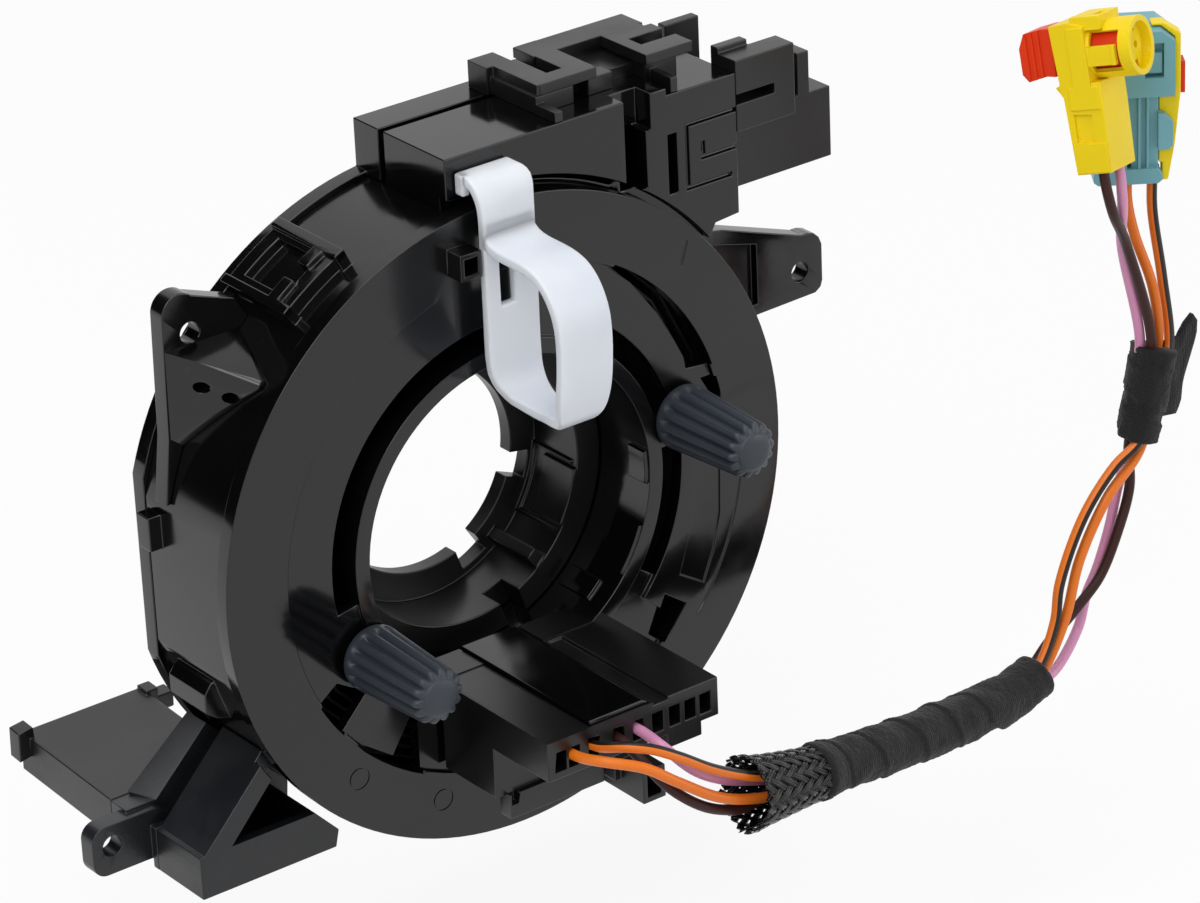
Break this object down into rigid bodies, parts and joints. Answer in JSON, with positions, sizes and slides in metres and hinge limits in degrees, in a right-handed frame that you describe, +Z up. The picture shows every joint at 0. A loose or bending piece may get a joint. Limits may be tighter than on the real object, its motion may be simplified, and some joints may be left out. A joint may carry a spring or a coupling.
{
  "type": "steering clock spring",
  "caption": "Round steering column clock spring with a turning rotor, a lock clip, fluted pin caps, side connectors and a taped wire pigtail with airbag plugs.",
  "frame": {"origin": "on the turning axis, where the shaft bore meets the back face", "axes": "+Y along the turning axis towards the steering column, so the rotor faces -Y; +Z up, towards the top box; +X to the right of someone who faces the rotor"},
  "size_m": [0.1937, 0.0984, 0.1295],
  "materials": {
    "black_gloss": "glossy moulded surface",
    "black_satin": "satin moulded surface",
    "terminal_metal": "tinned brass",
    "ribbon_film": "smooth film",
    "cap_rubber": "matte",
    "clip_white": "soft translucent white",
    "wire_orange": "smooth insulation",
    "wire_striped": "smooth insulation with a black stripe",
    "wire_pink": "smooth insulation",
    "wire_brown": "smooth insulation",
    "braid_black": "open woven braid",
    "tape_black": "matte cloth tape",
    "plug_yellow": "satin",
    "plug_teal": "satin",
    "lock_red": "satin"
  },
  "bodies": {
    "stator": {"drum_housing": "black_gloss", "top_box": "black_gloss", "upper_left_ear": "black_gloss", "right_ear": "black_gloss", "lower_bracket": "black_gloss", "tray_mount": "black_gloss", "back_cover": "black_gloss", "top_latch_cover": "black_satin", "side_connector_shell": "black_satin", "side_connector_pins": "terminal_metal", "lower_connector_shell": "black_satin", "lower_connector_pins": "terminal_metal"},
    "rotor": {"rotor_face": "black_gloss", "hub_ring": "black_gloss", "flat_cable": "ribbon_film", "front_connector_block": "black_satin", "connector_cover": "black_satin", "block_terminals": "terminal_metal", "pin_cap_upper": "cap_rubber", "pin_cap_lower": "cap_rubber", "wire_orange": "wire_orange", "wire_striped": "wire_striped", "wire_pink": "wire_pink", "wire_brown": "wire_brown", "braided_sleeve": "braid_black", "tape_wrap_main": "tape_black", "tape_wrap_end": "tape_black", "yellow_plug_body": "plug_yellow", "teal_plug_body": "plug_teal", "teal_plug_retainer": "plug_yellow"},
    "clip": {"lock_clip": "clip_white"},
    "yellow_lock": {"yellow_plug_lock": "lock_red"},
    "teal_lock": {"teal_plug_lock": "lock_red"}
  },
  "joints": [
    {"name": "rotor_turn", "type": "hinge", "parent": "stator", "child": "rotor", "pos_m": [0, 0, 0], "axis": [0, 1, 0], "range_deg": [-900, 900]},
    {"name": "clip_release", "type": "slide", "parent": "rotor", "child": "clip", "axis": [0, -1, 0], "range_m": [0, 0.025]},
    {"name": "yellow_lock_pull", "type": "slide", "parent": "rotor", "child": "yellow_lock", "axis": [-0.4118, 0.8831, -0.225], "range_m": [0, 0.003]},
    {"name": "teal_lock_pull", "type": "slide", "parent": "rotor", "child": "teal_lock", "axis": [0.8192, -0.5736, 0], "range_m": [0, 0.003]}
  ]
}
